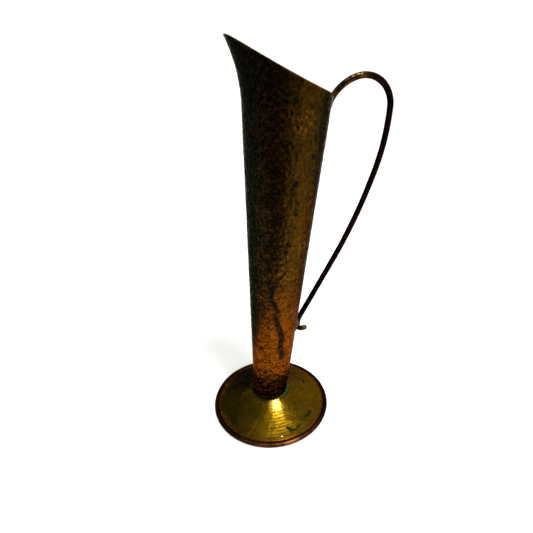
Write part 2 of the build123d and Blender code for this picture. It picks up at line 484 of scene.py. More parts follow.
class Finish:
    """A material made of nodes round one metal or plain shader."""

    def __init__(self, name, frame_of="row"):
        self.material = bpy.data.materials.new(name)
        self.material.use_nodes = True
        self.tree = self.material.node_tree
        self.tree.nodes.clear()
        self.output = self.tree.nodes.new("ShaderNodeOutputMaterial")
        self.ragged = 0.0  # unevenness of the marks' edges, in mm
        here = self.node("ShaderNodeTexCoord", output="Object")
        tilt = (0, LEAN, 0) if frame_of == "tube" else (0, 0, 0)
        origin = (0, 0, SEAT_LEVEL * MM) if frame_of == "tube" else (0, 0, 0)
        self.place = self.node("ShaderNodeMapping", {"vector_type": "TEXTURE"},
                               {"Vector": here, "Location": origin, "Rotation": tilt, "Scale": (MM, MM, MM)})
        parts = self.node("ShaderNodeSeparateXYZ", {}, {"Vector": self.place}).socket.node
        self.x, self.y, self.z = (Value(self, parts.outputs[axis]) for axis in range(3))
        self.radius = self.math("SQRT", self.x * self.x + self.y * self.y)

    def node(self, kind, settings=None, inputs=None, output=0):
        """Any node: its type, its settings, the values or links of its sockets, and the output that is wanted."""
        made = self.tree.nodes.new(kind)
        for name, value in (settings or {}).items():
            setattr(made, name, value)
        for name, value in (inputs or {}).items():
            socket = made.inputs[name]
            if isinstance(value, Value):
                self.tree.links.new(value.socket, socket)
            elif socket.type == "RGBA":
                socket.default_value = (*value, 1.0)
            else:
                socket.default_value = value
        return Value(self, made.outputs[output])

    def math(self, operation, *numbers):
        return self.node("ShaderNodeMath", {"operation": operation}, dict(enumerate(numbers)))

    def mix(self, share, first, second):
        """A colour between two, by a share."""
        return self.node("ShaderNodeMix", {"data_type": "RGBA"}, {0: share, 6: first, 7: second}, 2)

    def shade(self, colour, strength):
        """A colour made darker or lighter by a strength."""
        return self.node("ShaderNodeVectorMath", {"operation": "SCALE"}, {0: colour, "Scale": strength})

    def between(self, value, low, high, to_low=0.0, to_high=1.0):
        """value eased from low to high, onto to_low to to_high."""
        return self.node("ShaderNodeMapRange", {"interpolation_type": "SMOOTHSTEP"},
                         {"Value": value, "From Min": low, "From Max": high, "To Min": to_low, "To Max": to_high})

    def stretched(self, x=1.0, y=1.0, z=1.0, shift=0.0):
        """The place, stretched along the axes."""
        return self.node("ShaderNodeMapping", {},
                         {"Vector": self.place, "Location": (shift, -shift, shift), "Scale": (1 / x, 1 / y, 1 / z)})

    def cloud(self, size, detail=3.0, rough=0.55, place=None):
        """Noise from 0 to 1 with lumps about size across, in mm."""
        return self.node("ShaderNodeTexNoise", {},
                         {"Vector": place or self.place, "Scale": 1 / size, "Detail": detail, "Roughness": rough})

    def swing(self, *noise_settings):
        """The same noise about zero, from -0.5 to 0.5."""
        return self.cloud(*noise_settings) - 0.5

    def most(self, shares):
        """The largest of several shares."""
        return functools.reduce(lambda largest, share: self.math("MAXIMUM", largest, share), shares)

    def cells(self, size, feature="F1", place=None):
        """Distance within cells about size across, in mm."""
        return self.node("ShaderNodeTexVoronoi", {"feature": feature},
                         {"Vector": place or self.place, "Scale": 1 / size})

    def near(self, point, size, fade):
        """1 within size mm of a point, easing to 0 over fade mm, with a ragged edge."""
        away = self.node("ShaderNodeVectorMath", {"operation": "DISTANCE"}, {0: self.place, 1: point}, "Value")
        return self.between(away + self.ragged * (1.0 + 0.6 * size), size + fade, size * 0.6)

    def along(self, start, end, size, fade):
        """1 within size mm of the line between two points, easing to 0 over fade mm, with a ragged edge."""
        line = Vector(end) - Vector(start)
        offset = self.node("ShaderNodeVectorMath", {"operation": "SUBTRACT"}, {0: self.place, 1: start})
        reach = self.node("ShaderNodeVectorMath", {"operation": "DOT_PRODUCT"},
                          {0: offset, 1: line / line.length_squared}, "Value")
        share = self.node("ShaderNodeClamp", {}, {"Value": reach})
        foot = self.node("ShaderNodeVectorMath", {"operation": "SCALE"}, {0: tuple(line), "Scale": share})
        away = self.node("ShaderNodeVectorMath", {"operation": "DISTANCE"}, {0: offset, 1: foot}, "Value")
        return self.between(away + self.ragged * 1.6, size + fade, size * 0.6)

    def noted(self, name):
        """A value stored with the mesh."""
        return self.node("ShaderNodeAttribute", {"attribute_name": name}, {}, "Fac")

    def metal(self, colour, roughness, metallic, heights, edge=COPPER_EDGE):
        """Ends the finish. heights is a list of surface reliefs in mm, each already scaled."""
        inputs = {"Base Color": colour, "Roughness": roughness, "Metallic": metallic}
        if heights:
            relief = heights[0]
            for height in heights[1:]:
                relief = relief + height
            inputs["Normal"] = self.node("ShaderNodeBump", {}, {"Height": relief, "Distance": MM, "Strength": 1.0})
        shader = self.node("ShaderNodeBsdfPrincipled", {}, inputs)
        shader.socket.node.inputs["Specular Tint"].default_value = (*edge, 1.0)
        self.tree.links.new(shader.socket, self.output.inputs["Surface"])
        return self.material


# Places of the marks on the tube: angle round from the handle in degrees, height and size in mm
DARK_SPOTS = ((-87, 169.5, 1.9), (-90, 165.5, 0.9), (-81, 158.0, 0.9), (-82, 151.5, 1.0), (-83, 142.8, 0.9),
              (-88, 131.0, 1.2), (-92, 126.5, 1.0), (-60, 138.0, 0.9), (-96, 212.0, 1.6), (-128, 219.0, 2.6),
              (-62, 184.0, 1.0), (-57, 176.0, 1.1), (-55, 169.0, 1.0), (-58, 160.0, 0.8), (-104, 190.0, 0.8),
              (-134, 200.0, 1.4), (-151, 186.0, 1.1), (-128, 162.0, 0.9), (62, 181.0, 1.6), (74, 120.0, 1.3),
              (138, 150.0, 1.7), (158, 96.0, 1.2), (24, 92.0, 1.3), (-136, 48.0, 1.5), (-122, 27.0, 1.4))
SMEARS = (((-93, 170.0), (-88, 164.0)), ((-88, 164.0), (-81, 157.0)), ((-81, 157.0), (-83, 150.0)),
          ((-86, 146.0), (-92, 140.0)), ((-90, 133.0), (-95, 124.0)), ((-97, 213.0), (-92, 224.0)))
DRIP = ((-124, 105.0), (-114, 98.0), (-113, 90.0), (-101, 83.0), (-102, 75.0), (-92, 67.0), (-84, 59.0), (-88, 51.0),
        (-80, 45.0), (-79, 41.5))
BACK_DRIP = ((38, 208.0), (43, 176.0), (40, 140.0), (46, 118.0))
GOLD_PATCHES = ((-84, 203.0, 7.0), (-66, 130.0, 6.0), (-88, 112.0, 9.0), (-145, 94.0, 5.0), (70, 205.0, 8.0),
                (110, 120.0, 9.0))


def on_tube(angle, height):
    """A point of the tube's outside, in the tube frame, in mm."""
    turn = math.radians(angle)
    return (cone_radius(height) * math.cos(turn), cone_radius(height) * math.sin(turn), height)


def hammered_copper(colours):
    """Copper, dark at the front and golden at the handle's side, partly patina and partly painted shade and light;
    bright near the base, partly wear and partly a painted reflection of the pale floor.
    """
    f = Finish("hammered_copper", "tube")
    f.ragged = f.swing(1.8, 3.0, 0.65) * 2.4
    broad = f.swing(34.0, 3.0)
    medium = f.swing(9.0, 4.0)
    small = f.swing(2.2, 3.0)
    dent = f.noted("dent")
    # side runs across the tube from left to right as the camera sees it: the dark left and golden right are partly
    # patina, partly painted shade on the left and painted light on the right
    side = (f.x * 0.9675 - f.y * 0.249) / f.radius
    gold = f.between(side + medium * 0.9 + small * 0.5 + broad * 0.5, -0.27, 0.27)
    lower = f.between(f.z + broad * 60 + medium * 34 + f.between(side, -0.35, -0.85, 0.0, 30.0), 108, 52)
    front = f.between(side + medium * 0.5 + small * 0.3, -0.78, -0.4)
    dark = f.mix(front, FRONT_BLACK, f.shade(colours.copper_dark, 1.15))
    olive = f.between(side + medium * 0.6, 0.45, 0.75) * f.between(f.z + broad * 40, 165, 185)
    golden = f.mix(olive * 0.75, colours.copper_gold, OLIVE_GOLD)
    colour = f.mix(gold, dark, golden)
    # in the middle band the left takes painted shadow tones and the right a painted warm lit gold
    middle = f.between(f.z + broad * 50 + medium * 20, 205, 125)
    shadow = f.mix(front, FRONT_SHADOW, BROWN_SHADOW)
    colour = f.mix(middle * 0.75, colour, f.mix(gold, shadow, WARM_GOLD))
    # bright copper near the base: partly wear, partly a painted reflection of the pale floor
    colour = f.mix(lower, colour, colours.copper_bright)
    # a painted grey reflection down the tube's left edge
    left_edge = f.between(side + small * 0.25, -0.74, -0.94) * f.between(f.z + medium * 26, 34, 60)
    colour = f.mix(left_edge * 0.85, colour, LEFT_EDGE_REFLECTION)
    for angle, height, size in GOLD_PATCHES:
        fleck = f.near(on_tube(angle, height), size * 0.5, size)
        colour = f.mix(fleck * f.between(small + dent * -0.25, -0.2, 0.06) * 0.6, colour, GOLD_FLECK)
    # lighter ridges and darker hollows of the hammer marks, partly wear and oxide, partly painted shade of the
    # relief
    pits = f.swing(1.1, 2.0)
    streaks = f.swing(1.6, 3.0, 0.6, f.stretched(1, 1, 3.5))
    colour = f.shade(colour, f.between(dent * 0.35 + pits * 1.3 + streaks * 1.1, 0.75, -0.4, 0.5, 1.5))
    hollow = f.between(f.cells(2.3), 0.36, 0.2) * f.between(medium + small, -0.2, 0.1)
    colour = f.shade(colour, 1 - hollow * f.between(f.z + medium * 40, 150, 95, 0.12, 0.75))
    # tarnish round the mouth, in spots and along a dried drip, and darker in a band at the base
    tarnish = f.between(f.z + medium * 40 + side * -14, 206, 236) * 0.7
    base = f.between(f.z + medium * 16 + small * 8 + dent * -7, 25, 13)
    colour = f.mix(tarnish, colour, MOUTH_TARNISH)
    colour = f.mix(base * f.between(dent, 0.1, 0.5, 0.6, 0.95), colour, BASE_BAND_DARK)
    drip = f.most([f.along(on_tube(*start), on_tube(*end), 3.3 - 0.022 * end[1], 1.2)
                   for route in (DRIP, BACK_DRIP) for start, end in zip(route, route[1:])])
    drip = drip * f.between(small + medium, -0.3, 0.0, 0.65, 1.0)
    colour = f.mix(drip * f.between(dent + pits, 0.1, 0.6, 0.75, 0.96), colour, DRIP_OLIVE)
    broken = f.between(small, -0.1, 0.12, 0.15, 0.95)
    spots = f.most([f.near(on_tube(angle, height), size, 0.7) for angle, height, size in DARK_SPOTS]
                   + [f.along(on_tube(*start), on_tube(*end), 0.4, 1.2) * broken for start, end in SMEARS])
    colour = f.mix(spots * 0.95, colour, SPOT_BLACK)
    freckles = f.between(f.cells(3.4), 0.17, 0.1) * f.between(medium, -0.02, 0.1)
    colour = f.mix(freckles * 0.6, colour, FRECKLE)
    inside = f.noted("inside")
    # a painted highlight along the mouth's edge towards the handle, where the edge of the sheet catches the light
    painted_highlight = f.noted("rim") * f.between(f.x + medium * 14, -14, 4, 0.1, 0.8)
    colour = f.mix(painted_highlight, colour, RIM_HIGHLIGHT)
    colour = f.mix(inside * (1 - painted_highlight), colour, f.mix(f.cloud(14.0, 4.0), INSIDE_DARK, INSIDE_BROWN))
    dull = f.most([drip, spots, inside])
    roughness = 0.23 + small * 0.2 + medium * 0.1 + dull * 0.28 + dent * 0.08
    blows = f.cells(2.5, "F1", f.stretched(1, 1, 1.15)) * 0.85 + f.cells(4.6) * 0.5
    blows = blows * f.most([f.between(side + broad * 0.4, -0.1, -0.45, 0.4, 1.0), f.between(f.z, 150, 90, 0.4, 0.9)])
    bands = f.cloud(1.1, 2.0, 0.5, f.stretched(3, 3, 1)) * f.between(f.z, 40, 20) * 0.32
    relief = f.cloud(1.1, 3.0, 0.6) * 0.07 + f.cloud(0.6, 2.0) * 0.03
    scratches = f.cloud(0.5, 2.0, 0.5, f.stretched(1, 1, 6)) * 0.018
    return f.metal(colour, roughness, 0.97 - dull * 0.07, [relief, scratches, blows, bands])


def tarnished_copper():
    """The dull inside of the floor disc."""
    f = Finish("tarnished_copper", "tube")
    blotch = f.cloud(5.0, 4.0)
    colour = f.mix(blotch, FLOOR_DARK, FLOOR_BROWN)
    colour = f.mix(f.between(f.cloud(3.0, 3.0), 0.56, 0.68) * 0.6, colour, FLOOR_GREEN)
    return f.metal(colour, 0.5 + blotch * 0.25, 0.75, [f.cloud(0.8, 3.0) * 0.06])


def brazed_seam():
    """The brass line that closes the rolled sheet."""
    f = Finish("braze_brass", "tube")
    blotch = f.cloud(3.5, 4.0)
    colour = f.mix(blotch, BRAZE_DARK, BRAZE_BRIGHT)
    colour = f.shade(colour, f.between(f.cloud(1.2, 2.0), 0.3, 0.7, 0.6, 1.3))
    return f.metal(colour, 0.34 + blotch * 0.25, 0.92, [f.cloud(0.7, 3.0) * 0.07])


# Marks on the foot, seen from above, in mm: both ends of a stroke and its half width
BRASS_STROKES = (
    ((4.0, -34.0), (6.0, -36.4), 1.0), ((6.0, -36.4), (9.5, -36.4), 1.2), ((9.5, -36.4), (13.0, -33.8), 0.9),
    ((19.0, -27.6), (22.0, -26.9), 0.8), ((22.0, -26.9), (24.5, -24.6), 0.7), ((29.5, 4.0), (30.5, 8.0), 0.5),
    ((-31.0, 12.0), (-29.0, 17.0), 0.9), ((-27.0, 21.0), (-24.0, 24.0), 0.8), ((6.0, 34.0), (11.0, 33.0), 0.8))
BRASS_SPECKS = ((-11.4, -12.8), (-2.2, -22.2), (-7.5, -31.5), (-4.5, -32.0), (-1.5, -31.8), (14.5, -17.0),
                (23.5, -14.5))


def on_foot(x, y):
    """A point of the foot's top, in mm."""
    return (x, y, foot_height(math.hypot(x, y)))


def spun_brass(colours):
    """Olive yellow brass with turning lines, flecked with green, with a painted dark reflection at the back-left,
    painted shade towards the right and a painted highlight and glint at the front.
    """
    f = Finish("spun_brass")
    f.ragged = f.swing(2.0, 3.0) * 2.0
    broad = f.swing(20.0, 3.0)
    medium = f.swing(6.0, 4.0)
    small = f.swing(1.5, 3.0)
    rings = f.node("ShaderNodeCombineXYZ", {}, {0: f.radius})
    turning = f.cloud(0.9, 2.0, 0.6, rings)
    colour = f.mix(f.between(medium + small * 0.5, -0.24, 0.22), f.shade(colours.brass, 0.62), colours.brass)
    colour = f.mix(f.between(broad + small * 0.4, 0.0, 0.25) * 0.5, colour, ORANGE_BRASS)
    far = (f.y * 0.5 - f.x * 0.86) / 45
    # painted shade, darker towards the right
    colour = f.shade(colour, f.between(f.x + broad * 30, -8, 22, 0.85, 0.62))
    # a painted dark reflection towards the back-left
    colour = f.mix(f.between(far + broad * 0.9 + medium * 0.5, -0.35, 0.4) * 0.93, colour, FAR_DARK_REFLECTION)
    # darker beside the bead and round the tube, and short strokes of green and ochre
    colour = f.mix(f.between(f.radius + medium * 1.5, 40.2, 42.1) * 0.9, colour, CREASE_DARKENING)
    colour = f.mix(f.between(f.radius + medium * 3 + f.y * 0.12, 15.5, 12.6) * 0.7, colour, CROWN_DARKENING)
    strokes = f.most([f.along(on_foot(*start), on_foot(*end), size, 0.7) for start, end, size in BRASS_STROKES])
    colour = f.mix(strokes * 0.93, colour, STROKE_GREEN)
    for x, y in BRASS_SPECKS:
        colour = f.mix(f.near(on_foot(x, y), 0.4, 0.7) * 0.8, colour, SPECK_BROWN)
    ochre = f.along(on_foot(-25.0, -31.0), on_foot(-17.0, -24.0), 0.3, 1.8) * f.between(small, -0.15, 0.15, 0.2, 1.0)
    colour = f.mix(ochre * 0.4, colour, OCHRE)
    browned = f.between(f.radius + medium * 6, 36.5, 41.0) * f.between(small + medium, -0.1, 0.15)
    colour = f.mix(browned * 0.7, colour, BROWNED_BRASS)
    # a painted highlight: a paler patch in front of the tube, where the overhead lamp's highlight falls
    foot_highlight = f.near(on_foot(0.5, -17.0), 3.0, 5.0) * f.between(small, -0.2, 0.1, 0.5, 1.0)
    colour = f.mix(foot_highlight * 0.6, colour, HIGHLIGHT_BRASS)
    # a painted glint: a white speck on the foot's front
    white = f.near(on_foot(-1.8, -38.7), 0.1, 0.4)
    colour = f.mix(white, colour, WHITE_GLINT)
    pits = f.between(f.cells(4.5), 0.13, 0.08)
    colour = f.mix(pits * 0.8, colour, PIT_BROWN)
    colour = f.shade(colour, f.between(turning, 0.25, 0.75, 0.86, 1.12))
    dull = f.most([strokes, pits])
    roughness = 0.27 + medium * 0.14 + small * 0.12 + dull * 0.25
    relief = [turning * 0.012, f.cloud(2.4, 3.0) * 0.035, f.noted("dent") * -0.015]
    return f.metal(colour, roughness, 0.97 - dull * 0.1, relief, BRASS_EDGE)


def rim_copper():
    """Brown copper ring, with a painted highlight on top at the front, and painted shade towards its left, right and
    bottom.
    """
    f = Finish("rim_copper")
    medium = f.swing(5.0, 4.0)
    small = f.swing(1.3, 3.0)
    colour = f.mix(f.between(medium + small * 0.5, -0.2, 0.2), RING_DARK, RING_COPPER)
    # painted shade: darker towards the ring's left and right, brown at the front
    sides = f.math("ABSOLUTE", f.x + 2) / 45 + f.y * 0.006
    colour = f.mix(f.between(sides + medium * 0.5, 0.1, 0.7) * 0.9, colour, RING_SIDE_SHADE)
    f.ragged = small * 2
    # a painted highlight on top of the ring at the front
    painted_highlight = f.near((4.0, -44.0, 2.6), 3.5, 4.5)
    colour = f.mix(painted_highlight * 0.7, colour, RING_HIGHLIGHT)
    # painted shade, darker towards the bottom of the ring
    colour = f.mix(f.between(f.z + medium, 0.9, 0.1) * 0.7, colour, RING_UNDERSIDE_SHADE)
    return f.metal(colour, 0.36 + small * 0.3, 0.95, [f.cloud(1.2, 3.0) * 0.05], RING_EDGE)


def bronzed_wire(colours):
    """Nearly black bronze, with a painted golden sheen along the top of its loop."""
    f = Finish("bronzed_wire", "tube")
    f.ragged = f.swing(1.2, 3.0) * 1.2
    medium = f.swing(7.0, 4.0)
    small = f.swing(0.9, 3.0)
    mottle = f.between(medium + small * 0.5, -0.25, 0.25)
    colour = f.mix(mottle, f.shade(colours.wire, 0.3), f.shade(colours.wire, 0.7))
    # a painted golden sheen along the top of the loop
    loop_sheen = f.between(f.z + medium * 14, 208, 222) * f.between(f.x, 52, 40)
    colour = f.mix(loop_sheen * f.between(small + medium, -0.05, 0.15, 0.0, 0.7), colour, BRONZE_SHEEN)
    stub = f.between(f.z, 57, 55) * f.between(f.x, 21, 23)
    colour = f.mix(stub * 0.5, colour, STUB_BRONZE)
    # a painted glint near the top of the loop
    pink = f.near((43.0, -1.6, 225.2), 0.3, 0.5)
    colour = f.mix(pink * 0.6, colour, PINK_GLINT)
    lines = f.cloud(0.6, 2.0, 0.5, f.stretched(1, 1, 7)) * 0.03
    return f.metal(colour, 0.2 + small * 0.2, 0.97, [f.cloud(1.0, 3.0) * 0.05, lines], WIRE_EDGE)


def tin_solder(colours):
    """Dull grey solder with a cream bloom, and green where it meets the copper."""
    f = Finish("tin_solder", "tube")
    medium = f.swing(2.4, 4.0)
    small = f.swing(0.7, 3.0)
    colour = f.mix(f.between(medium + small * 0.4, -0.2, 0.22), f.shade(colours.solder, 0.35), colours.solder)
    colour = f.mix(f.between(medium * -1 + small * 0.5, 0.02, 0.22) * 0.7, colour, SOLDER_GREEN)
    colour = f.mix(f.between(f.cells(1.7), 0.16, 0.08) * 0.8, colour, SOLDER_PIT)
    colour = f.mix(f.between(f.z + medium * 20, 140, 90) * 0.75, colour, SOLDER_BROWN)
    return f.metal(colour, 0.5 + small * 0.3, 0.6, [f.cloud(0.8, 4.0, 0.65) * 0.12])


def verdigris_solder(colours):
    """Solder at the tube's base: green crust on the handle's side, black dirt at the front."""
    f = Finish("verdigris_solder", "tube")
    medium = f.swing(3.0, 4.0)
    small = f.swing(0.8, 3.0)
    green = f.mix(f.between(small + medium * 0.4, -0.2, 0.25), f.shade(colours.verdigris, 0.45), colours.verdigris)
    green = f.mix(f.between(small, 0.08, 0.22) * 0.4, green, PALE_VERDIGRIS)
    side = (f.x * 0.94 - f.y * 0.34) / f.radius
    towards_handle = f.between(side + medium * 0.9, 0.38, 0.72)
    colour = f.mix(towards_handle, CRUST_DIRT, green)
    back = f.between(f.y / f.radius + medium, 0.3, 0.8) * f.between(small, -0.1, 0.1)
    colour = f.mix(back * 0.6, colour, green)
    crust = f.most([towards_handle, back])
    return f.metal(colour, 0.62 + small * 0.3, 0.9 - crust * 0.75, [f.cloud(0.6, 4.0, 0.7) * 0.2])


def studio_paper(colours):
    """Matt paper of the backdrop."""
    f = Finish("studio_paper")
    tone = f.cloud(260.0, 2.0)
    colour = f.mix(tone * 0.12, colours.backdrop, f.shade(colours.backdrop, 0.93))
    return f.metal(colour, 0.9, 0.0, [], PLAIN_EDGE)


def black_card():
    """Matt black card that the shiny side of the tube mirrors."""
    f = Finish("black_card")
    colour = f.mix(f.cloud(200.0, 2.0), CARD_DARK, CARD_LIGHT)
    return f.metal(colour, 0.95, 0.0, [], PLAIN_EDGE)


# ---- pieces -----------------------------------------------------------------------------------------
class VASE_OT_hammered_tube(bpy.types.Operator):
    """Builds the tapered tube with its drawn lip, slanted mouth and hammered wall"""

    bl_idname = "vase.hammered_tube"
    bl_label = "Hammered tube"

    def execute(self, context):
        sizes, colours = context.scene.vase_sizes, context.scene.vase_colours
        wall = sizes.tube_sheet / MM
        rows = [(cone_radius(z), z) for z in [TUBE_FOOT] + steps(TUBE_FOOT, SHOULDER, 6)]
        rows += [(cone_radius(z), z) for z in steps(SHOULDER, LIP_LEVEL - RIM_ROUND, 50)]
        for inset, drop in ((0.05, 0.12), (0.2, 0.0), (wall - 0.2, 0.0), (wall - 0.05, 0.12), (wall, RIM_ROUND)):
            rows.append((cone_radius(LIP_LEVEL) - inset, LIP_LEVEL - drop))
        rows += [(cone_radius(z) - wall, z) for z in steps(LIP_LEVEL - RIM_ROUND, SHOULDER, 18)]
        rows += [(cone_radius(z) - wall, z) for z in steps(SHOULDER, TUBE_FOOT, 24)]
        tube = turned("hammered_tube", sizes.tube_columns, rows, "joined")
        bpy.ops.object.mode_set(mode="EDIT")
        pick(tube, lambda edge: edge.calc_length() > 12 * MM, "EDGE")
        bpy.ops.mesh.subdivide(number_cuts=42)
        bpy.ops.object.mode_set(mode="OBJECT")
        levels, at_rim = {}, []

        def placed(x, y, z):
            at_rim.append(z > LIP_LEVEL - 0.31)
            turn = math.atan2(y, x)
            key = round(turn, 4)
            if key not in levels:
                levels[key] = mouth_level(turn)
            inset = cone_radius(z) - math.hypot(x, y)
            height = z
            if z > SHOULDER:
                share = (z - SHOULDER) / (LIP_LEVEL - SHOULDER)
                height = SHOULDER + share * (levels[key] - RIM_ROUND - SHOULDER)
            if z < LEVEL_BAND:  # the lower edge is level on the foot, though the tube leans
                height += math.cos(turn) * SEAT_RADIUS * math.tan(LEAN) * (1 - max(z, 0) / LEVEL_BAND)
            radius = cone_radius(height) - inset
            reach = lip_reach(height) if x < 0 else 0.0
            return (radius + reach) * math.cos(turn), radius * math.sin(turn), height

        reshape(tube, placed)
        spots = places(tube)
        turn, distance = round_axis(spots)
        plain = cone_radius(spots[:, 2])
        reach = np.where(spots[:, 0] < 0, FLARE_RATE * np.maximum(spots[:, 2] - FLARE_START, 0) ** 2, 0)
        ellipse = 1 / np.sqrt((np.cos(turn) / (plain + reach)) ** 2 + (np.sin(turn) / plain) ** 2)
        inside = distance < ellipse - wall * 0.55
        pitch = sizes.dent_pitch / MM
        marks = hammer_marks(turn, spots[:, 2], cone_radius, pitch, (0.72 * pitch, 0.9 * pitch), 11)
        ripples = hammer_marks(turn, spots[:, 2], cone_radius, 2.1, (2.2, 1.15), 23)
        low = np.clip((34 - spots[:, 2]) / 14, 0, 1)
        depth = marks * (1 - low) + ripples * low
        waves = grains(spots, (16.0, 0.12, 3.1))
        edge = np.clip((spots[:, 2] - TUBE_FOOT) / 3, 0, 1)
        push(tube, "NORMAL", np.where(inside, 0.0, -(depth * sizes.dent_depth / MM + 0.12 + waves) * edge))
        note(tube, "dent", np.where(inside, 0.3, depth))
        note(tube, "inside", inside)
        note(tube, "rim", np.array(at_rim))
        lean_with_tube(tube)
        finish_piece(tube, hammered_copper(colours), "hammered_copper", "body_tube", angle=70)
        return {"FINISHED"}


class VASE_OT_seam(bpy.types.Operator):
    """Builds the brazed seam down the tube's back"""

    bl_idname = "vase.seam"
    bl_label = "Brazed seam"

    def execute(self, context):
        clear_bench()
        low, high = 1.5, mouth_level(0.0) - 0.15
        bpy.ops.mesh.primitive_circle_add(
            vertices=12, radius=0.62 * MM, location=(cone_radius(low) * MM, 0, low * MM))
        seam = named("brazed_seam")
        bpy.ops.object.transform_apply(location=True)
        edit_all()
        bpy.ops.transform.resize(value=(0.62, 1, 1), center_override=((cone_radius(low) - 0.1) * MM, 0, 0))
        bpy.ops.mesh.edge_face_add()
        count = 190
        step = (high - low) / count
        for _ in range(count):
            bpy.ops.mesh.extrude_region_move(
                TRANSFORM_OT_translate={"value": (step * TAPER * MM, 0, step * MM)})
        close_edit()
        spots = places(seam)
        swell = grains(spots, (3.0, 0.13, 5.3), (1.1, 0.05, 8.3))
        push(seam, "NORMAL", swell)
        push(seam, "X", np.full(len(spots), -0.16))
        lean_with_tube(seam)
        finish_piece(seam, brazed_seam(), "braze_brass", "seam_braze")
        return {"FINISHED"}


class VASE_OT_floor_disc(bpy.types.Operator):
    """Builds the disc soldered in the tube's lower end"""

    bl_idname = "vase.floor_disc"
    bl_label = "Floor disc"

    def execute(self, context):
        wall = context.scene.vase_sizes.tube_sheet / MM
        edge = cone_radius(FLOOR_TOP) - wall
        rows = [(edge, FLOOR_TOP + 1.5), (edge - 0.35, FLOOR_TOP + 0.75), (edge - 0.8, FLOOR_TOP + 0.3)]
        rows += [(radius, FLOOR_TOP - 0.25 * (1 - radius / edge)) for radius in steps(edge - 1.2, 0.5, 20)]
        disc = turned("floor_disc", 96, rows, "capped")
        spots = places(disc)
        turn, distance = round_axis(spots)
        marks = hammer_marks(turn, distance, lambda radius: max(radius, 0.5), 2.6, (2.0, 2.0), 31)
        push(disc, "Z", -0.12 * marks * (distance < edge - 1))
        apply_modifier(disc, "SOLIDIFY", thickness=0.8 * MM, offset=-1.0)
        lean_with_tube(disc)
        finish_piece(disc, tarnished_copper(), "tarnished_copper", "tube_floor")
        return {"FINISHED"}


class VASE_OT_spun_foot(bpy.types.Operator):
    """Builds the spun brass trumpet of the foot"""

    bl_idname = "vase.spun_foot"
    bl_label = "Spun foot"

    def execute(self, context):
        sizes, colours = context.scene.vase_sizes, context.scene.vase_colours
        rows = [(CREASE_END - 1.15 * i / 6, foot_height(CREASE_END - 1.15 * i / 6)) for i in range(7)]
        rows += [(radius, foot_height(radius)) for radius in steps(41.0, SEAT_RADIUS, 52)]
        rows += [(radius, foot_height(radius)) for radius in steps(SEAT_RADIUS, CROWN_RADIUS, 5)]
        rows += [(radius, CROWN_LEVEL) for radius in steps(CROWN_RADIUS, 0.6, 8)]
        foot = turned("spun_foot", 240, rows, "capped")
        spots = places(foot)
        turn, distance = round_axis(spots)
        marks = hammer_marks(turn, distance, lambda radius: max(radius, 1.0), 4.4, (3.4, 3.4), 41)
        turning = 0.025 * np.sin(distance * 2.9) + 0.02 * np.sin(distance * 5.3 + 1)
        waves = grains(spots, (13.0, 0.1, 6.1))
        calm = np.clip((CREASE_END - distance) / 3, 0, 1)
        push(foot, "Z", (-0.085 * marks + turning - 0.06 + waves) * calm)
        note(foot, "dent", marks)
        apply_modifier(foot, "SOLIDIFY", thickness=sizes.foot_sheet, offset=-1.0)
        finish_piece(foot, spun_brass(colours), "spun_brass", "foot_cone")
        return {"FINISHED"}


class VASE_OT_rim_ring(bpy.types.Operator):
    """Builds the copper wire ring under the foot's edge"""

    bl_idname = "vase.rim_ring"
    bl_label = "Rim ring"

    def execute(self, context):
        clear_bench()
        bpy.ops.mesh.primitive_torus_add(
            major_segments=288, minor_segments=28, major_radius=RING_CENTRE * MM,
            minor_radius=RING_WIRE * MM, location=(0, 0, RING_LEVEL * MM))
        ring = named("rim_ring")
        bpy.ops.object.transform_apply(location=True)
        spots = places(ring)
        turn = np.arctan2(spots[:, 1], spots[:, 0])
        uneven = grains(spots, (4.0, 0.05, 2.2), (15.0, 0.05, 7.7))
        joint = np.abs((turn - math.radians(97) + math.pi) % TURN - math.pi) * RING_CENTRE
        gap = -0.34 * np.exp(-((joint / 0.32) ** 2)) + 0.16 * np.exp(-(((joint - 1.0) / 0.7) ** 2))
        push(ring, "NORMAL", uneven - 0.1 + gap - 0.06)
        heights = places(ring)[:, 2]
        push(ring, "Z", np.where(heights < 0.02, -heights, 0.0))
        finish_piece(ring, rim_copper(), "rim_copper", "foot_rim_ring")
        return {"FINISHED"}


def trim_at_wall(piece, height):
    """Cuts away what would stand inside the tube, along the middle of its back wall."""
    take(piece)
    edit_all()
    bpy.ops.mesh.bisect(plane_co=((cone_radius(height) - 0.4) * MM, 0, height * MM),
                        plane_no=(1, 0, -TAPER), use_fill=True, clear_inner=True)
    # slivers along the cut are merged away, and whatever they leave open is closed
    bpy.ops.mesh.select_all(action="SELECT")
    bpy.ops.mesh.remove_doubles(threshold=0.03 * MM)
    bpy.ops.mesh.delete_loose(use_verts=True, use_edges=True, use_faces=False)
    bpy.ops.mesh.select_all(action="SELECT")
    bpy.ops.mesh.fill_holes(sides=0)
    bpy.ops.mesh.normals_make_consistent(inside=False)
    bpy.ops.object.mode_set(mode="OBJECT")


